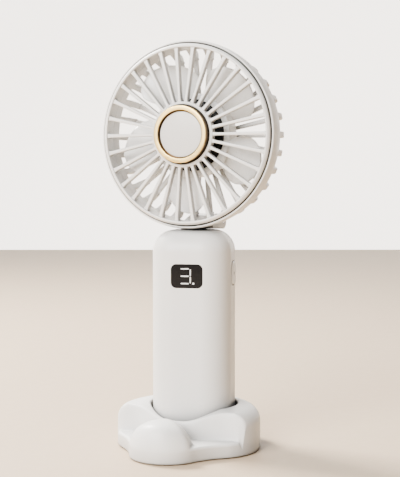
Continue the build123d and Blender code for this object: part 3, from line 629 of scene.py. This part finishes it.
def make_centre():
    ring = Shape()
    loop = [
        (11.05, DISC - 1.0),
        (11.05, BEZEL),
        (17.4, BEZEL),
        (17.4, DISC + 0.65),
        (14.4, DISC + 0.65),
        (14.4, DISC - 1.0),
    ]
    ring.lathe(rounded(loop, [0, 0, 0.5, 0.3, 0, 0], steps=6))
    ring.piece("gold_ring", "head", ["bezel_ring"])
    disc = Shape()
    disc.disc(
        [
            (14.45, CENTRE_RADIUS),
            (14.45, DISC),
            (15.5, DISC),
            (15.72, DISC - 0.08),
            (15.84, DISC - 0.25),
            (15.9, DISC - 0.5),
            (15.9, CENTRE_RADIUS),
        ]
    )
    disc.piece("silver_disc", "head", ["centre_disc"])


make_front_ring()
make_grille()
make_centre()

# ---------------------------------------------------------------- back of the head

BORE = 41.6
REAR_EDGE = -1.0
BACK = -12.0
FIN_WIDE = 3.0
FIN_ROUND = 0.6
GUARD = 37.6
GUARD_INNER = 14.6
GUARD_STEPS = 6
GUARD_WIDE = (1.9, 2.4)
GUARD_DEEP = 2.3
GUARD_ROUND = 0.7

# The hinge pin as (back, height), and the lug round it as (x, how far it is drawn in).
PIN = (16.5, 108.6)
PIN_HOLE = 1.56
LUG_RADIUS = 3.8
LUG_ROOT = [(1.0, 107.2), (9.0, 107.2), (9.0, 109.5), (1.0, 109.5)]
LUG_SIDES = ((-5.3, 0.35), (-4.95, 0.0), (4.95, 0.0), (5.3, 0.35))
LUG_FACETS = 72


def lug_outline():
    """Reach, cosine and sine from the pin to the outside of the lug, in even directions."""
    circle = [
        (PIN[0] + LUG_RADIUS * math.cos(a), PIN[1] + LUG_RADIUS * math.sin(a))
        for a in [2 * math.pi * i / 48 for i in range(48)]
    ]
    points = sorted(set(LUG_ROOT + circle))

    def turn(o, a, b):
        return (a[0] - o[0]) * (b[1] - o[1]) - (a[1] - o[1]) * (b[0] - o[0])

    hull = []
    for ordered in (points, points[::-1]):
        chain = []
        for p in ordered:
            while len(chain) > 1 and turn(chain[-2], chain[-1], p) <= 0:
                chain.pop()
            chain.append(p)
        hull += chain[:-1]
    out = []
    for i in range(LUG_FACETS):
        c, d = math.cos(2 * math.pi * i / LUG_FACETS), math.sin(2 * math.pi * i / LUG_FACETS)
        best = 0.0
        for a, b in zip(hull, hull[1:] + hull[:1]):
            ax, ay, bx, by = a[0] - PIN[0], a[1] - PIN[1], b[0] - PIN[0], b[1] - PIN[1]
            across = c * (by - ay) - d * (bx - ax)
            if abs(across) < 1e-9:
                continue
            reach = (ax * (by - ay) - ay * (bx - ax)) / across
            t = ((c * reach - ax) * (bx - ax) + (d * reach - ay) * (by - ay)) / (
                (bx - ax) ** 2 + (by - ay) ** 2
            )
            if reach > 0 and -1e-6 <= t <= 1 + 1e-6:
                best = max(best, reach)
        out.append((best, c, d))
    return out


def make_drum():
    shape = Shape()
    band = [
        (9.0, BORE + 0.6),
        (9.0, 42.95),
        (6.8, 42.95),
        (6.8, 43.7),
        (10.2, 43.75),
        (10.4, 44.5),
        (9.2, 45.0),
        (4.9, 45.0),
        (REAR_EDGE, 44.0),
        (REAR_EDGE, BORE),
        (5.0, BORE),
        (5.0, BORE + 0.6),
    ]
    corners = [0.1, 0.1, 0.1, 0.1, 0.35, 0.6, 0.9, 2.0, 0.8, 0.2, 0.05, 0.05]
    shape.lathe(rounded(band, corners, steps=5), 288)

    side = [
        (REAR_EDGE + 1.2, 43.6),
        (BACK + 3.5, 43.2),
        (BACK, 41.8),
        (BACK, GUARD + 0.03),
        (BACK + 2.6, GUARD + 0.03),
        (REAR_EDGE - 2.4, BORE + 0.2),
        (REAR_EDGE + 1.2, BORE + 0.2),
    ]
    side = rounded(side, [0, 2.5, 2.6, 0.05, 0.05, 1.5, 0], steps=5)
    for turn in SPOKE_TURNS:
        shape.fin(side, turn, FIN_WIDE, FIN_ROUND, steps=4)

    lug = lug_outline()

    def lug_row(x, reaches):
        return shape.row([Vector((x, PIN[0] + r * c, PIN[1] + r * d)) for r, c, d in reaches])

    outer = [lug_row(x, [(r - drawn, c, d) for r, c, d in lug]) for x, drawn in LUG_SIDES]
    hole = [(PIN_HOLE, c, d) for _, c, d in lug]
    left, right = (lug_row(x, hole) for x, _ in (LUG_SIDES[0], LUG_SIDES[-1]))
    shape.skin([left, *outer, right, left])
    shape.piece("drum", "head", ["rear_housing", "rear_fins"], sharp=40)


def make_guard():
    shape = Shape()
    stations = []
    for k in range(GUARD_STEPS + 1):
        t = k / GUARD_STEPS
        half = mix(*GUARD_WIDE, smooth(t)) / 2
        stations.append((mix(GUARD_INNER, GUARD, t), half, BACK, BACK + GUARD_DEEP))
    for turn in SPOKE_TURNS:
        shape.bar(turn, stations, GUARD_ROUND)
    hub = [
        (BACK + 2.6, 4.0),
        (BACK + 2.6, 16.0),
        (BACK, 16.0),
        (BACK, 14.5),
        (BACK + 1.0, 14.5),
        (BACK + 1.0, 4.0),
    ]
    shape.lathe(rounded(hub, [0.2, 0.6, 0.6, 0.25, 0.1, 0.1]), 200)
    shape.piece("rear_spokes", "head", ["rear_guard", "rear_hub"], sharp=50)


make_drum()
make_guard()

# ---------------------------------------------------------------- impeller

BLADES = 5
BLADE_PHASE = math.radians(-25)
BLADE_ROOT = 18.6
BLADE_TIP = 38.0
BLADE_ROWS = 44
BLADE_COLUMNS = 40
BLADE_THICK = (1.5, 1.05)
BLADE_CAMBER = 1.0
BLADE_PITCH = (36, 19)
IMPELLER_HUB = ((4.4, 17.43), (4.4, 20.4), (-5.0, 20.4), (-5.0, 17.43))

# A blade's two edges as (radius, degrees from its middle).
LEADING = ((BLADE_ROOT, -17), (21, -21), (24, -25), (29, -28), (33.6, -25), (36.9, -18),
           (BLADE_TIP, -8))
TRAILING = ((BLADE_ROOT, 19), (22.5, 25), (27, 26), (31.2, 21), (34.8, 13), (37.4, 3),
            (BLADE_TIP, -8))


def along_edge(edge, radius):
    """Angle of a blade's edge at a radius."""
    for (r0, a0), (r1, a1) in zip(edge, edge[1:]):
        if radius <= r1:
            return mix(a0, a1, (radius - r0) / (r1 - r0))
    return edge[-1][1]


def soft_edge(edge, radius):
    """The same, with the corners of the table smoothed away."""
    reach = 0.45 * min(1.0, (BLADE_TIP - radius) / 2)
    total = weight = 0.0
    for k in range(-4, 5):
        near = min(BLADE_TIP, max(BLADE_ROOT, radius + k * reach))
        share = 1 - abs(k) / 5
        total += along_edge(edge, near) * share
        weight += share
    return total / weight


def blade_side(front):
    """Rows of points over the front or the back of a blade that stands upright."""
    out = []
    for i in range(BLADE_ROWS + 1):
        t = i / BLADE_ROWS
        radius = mix(BLADE_ROOT, BLADE_TIP, math.sin(math.pi / 2 * t))
        low, high = soft_edge(LEADING, radius), soft_edge(TRAILING, radius)
        thick = mix(*BLADE_THICK, t) / 2
        line = []
        for j in range(BLADE_COLUMNS + 1):
            v = (1 - math.cos(math.pi * j / BLADE_COLUMNS)) / 2
            angle = math.radians(mix(low, high, v))
            x, z = radius * math.sin(angle), radius * math.cos(angle)
            pitch = math.radians(mix(*BLADE_PITCH, smooth((z - 15) / 26)))
            rim = max(0.0, 1 - abs(2 * v - 1) ** 10) ** 0.5 * max(0.0, 1 - t**30) ** 0.5
            camber = BLADE_CAMBER * (1 - (2 * v - 1) ** 2) * smooth((radius - 18) / 8)
            depth = x * math.tan(pitch) - camber
            line.append(Vector((x, depth + (-thick if front else thick) * rim, z)))
        out.append(line)
    return out


def make_impeller():
    shape = Shape()
    shape.lathe(rounded(IMPELLER_HUB, [0.3, 0.8, 0.8, 0.3], steps=5))
    sides = [blade_side(front) for front in (True, False)]
    centre = Vector((0, 0, HEAD_HEIGHT))
    for index in range(BLADES):
        spin = Matrix.Rotation(BLADE_PHASE + 2 * math.pi * index / BLADES, 3, "Y")
        roots = []
        for side in sides:
            rows = [shape.row([spin @ p + centre for p in line]) for line in side]
            shape.skin(rows, closed=False)
            roots.append(rows[0])
        shape.cap(roots[0] + roots[1][::-1])
    shape.piece("blades", "impeller", ["impeller"], sharp=50)


make_impeller()

# ---------------------------------------------------------------- pieces kept from the frame

SOFTENED = (
    "handle_shell", "bottom_cap", "button_cap", "display_window", "neck", "hinge_pin",
    "usb_socket", "base_bottom_plate", "anti_slip_pad", "rear_badge", "rotor_bell",
    "inner_chassis",
)
SOFTENED_EDGE = 0.22

for name, node in NODES.items():
    node.data.materials.clear()
    node.data.materials.append(FINISH[SLOT_OF[name]])
for name in SOFTENED:
    softer = NODES[name].modifiers.new("edges", "BEVEL")
    softer.width = SOFTENED_EDGE * MM
    softer.segments = 2
    softer.limit_method = "ANGLE"
    softer.angle_limit = math.radians(40)
    softer.harden_normals = False

# ---------------------------------------------------------------- light and floor

LIGHT_AIM = Vector((0, 0, 0.10))
# Each light's name, place (right, towards the camera, up), side, power and colour.
LIGHTS = (
    ("key", (-0.55, -0.45, 0.80), 0.30, 42, (1, 0.955, 0.89)),
    ("fill", (-0.60, 0.85, 0.65), 0.7, 40, (1, 0.985, 0.96)),
)
SKY_COLOUR = (1.0, 0.97, 0.93, 1)
SKY_STRENGTH = 0.27
FLOOR_SIZE = 8
FLOOR_COLOUR = (0.58, 0.44, 0.30)
BACKDROP_SIZE = (3.2, 2.6, 1)
BACKDROP_BEHIND = 1.5
BACKDROP_HEIGHT = 1.29
BACKDROP_COLOUR = (1, 0.945, 0.885)
BACKDROP_GLOW = 3.4


def area_light(name, place, side, power, colour):
    """A square light that faces the middle of the fan."""
    data = bpy.data.lights.new(name, "AREA")
    data.shape = "RECTANGLE"
    data.size = data.size_y = side
    data.energy = power
    data.color = colour
    right, towards, up = place
    place = RIGHT * right + TOWARDS * towards + UP * up
    look(bpy.data.objects.new(name, data), place, LIGHT_AIM)


def sheet(name, size, finish):
    """A flat square that belongs to the stage and not to the fan."""
    bpy.ops.mesh.primitive_plane_add(size=size)
    thing = bpy.context.object
    thing.name = name
    thing.data.materials.append(finish)
    return thing


world = bpy.data.worlds.new("world")
bpy.context.scene.world = world
world.use_nodes = True
sky = world.node_tree.nodes["Background"]
sky.inputs["Color"].default_value = SKY_COLOUR
sky.inputs["Strength"].default_value = SKY_STRENGTH

pale = material("floor", FLOOR_COLOUR, 0.6, mottle=0.02, grain=0.1, grain_size=3)
sheet("floor", FLOOR_SIZE, pale)
for light in LIGHTS:
    area_light(*light)

# The backdrop glows, and lights nothing by diffuse light.
glowing = material("backdrop", BACKDROP_COLOUR, 0.8, mottle=0.01, glow=BACKDROP_GLOW)
backdrop = sheet("backdrop", 1, glowing)
backdrop.scale = BACKDROP_SIZE
backdrop.location = -TOWARDS * BACKDROP_BEHIND + UP * BACKDROP_HEIGHT
backdrop.rotation_euler = TOWARDS.to_track_quat("Z", "Y").to_euler()
backdrop.visible_diffuse = False
